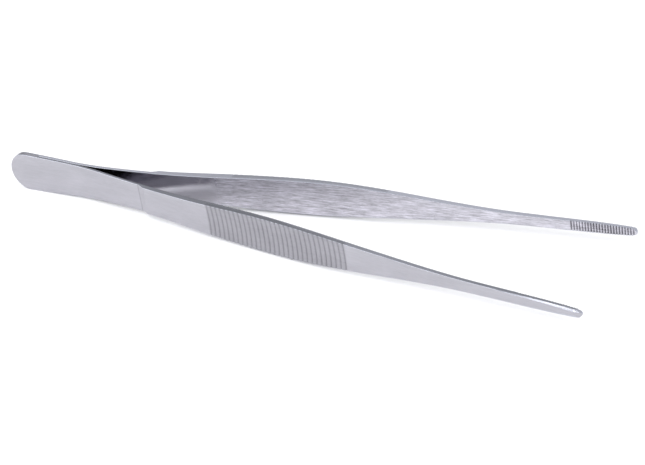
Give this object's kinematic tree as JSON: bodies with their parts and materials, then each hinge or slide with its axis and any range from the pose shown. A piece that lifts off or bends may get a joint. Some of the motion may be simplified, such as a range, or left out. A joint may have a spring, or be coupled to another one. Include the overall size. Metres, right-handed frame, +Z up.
{
  "type": "aquascaping tweezers",
  "caption": "Long straight stainless steel tweezers: two sprung arms welded at a rounded butt, with ribbed grips and toothed jaws, for planting in an aquarium.",
  "frame": {"origin": "centre of the bounding box's bottom face, as the tweezers lie on the narrow edges of their arms", "axes": "+X from the butt to the tips, +Y towards the left arm, +Z up"},
  "size_m": [0.27, 0.0572, 0.0172],
  "materials": {
    "stainless_steel": "satin, brushed along the arms",
    "weld_steel": "ground flush"
  },
  "bodies": {
    "heel": {"left_heel": "stainless_steel", "right_heel": "stainless_steel", "butt_weld": "weld_steel", "left_spring_leaf": "stainless_steel", "right_spring_leaf": "stainless_steel"},
    "left_limb": {"left_limb": "stainless_steel"},
    "right_limb": {"right_limb": "stainless_steel"}
  },
  "joints": [
    {"name": "left_arm_flex", "type": "hinge", "parent": "heel", "child": "left_limb", "pos_m": [-0.0874, 0.00194, 0.0086], "axis": [0, 0, -1], "range_deg": [0, 6.85], "stiffness_Nm_per_rad": 10, "deforming": ["left_spring_leaf"]},
    {"name": "right_arm_flex", "type": "hinge", "parent": "heel", "child": "right_limb", "pos_m": [-0.0874, -0.00194, 0.0086], "axis": [0, 0, 1], "range_deg": [0, 6.85], "stiffness_Nm_per_rad": 10, "deforming": ["right_spring_leaf"]}
  ],
  "couplings": [
    {"joint": "right_arm_flex", "follows": "left_arm_flex", "ratio": 1}
  ]
}
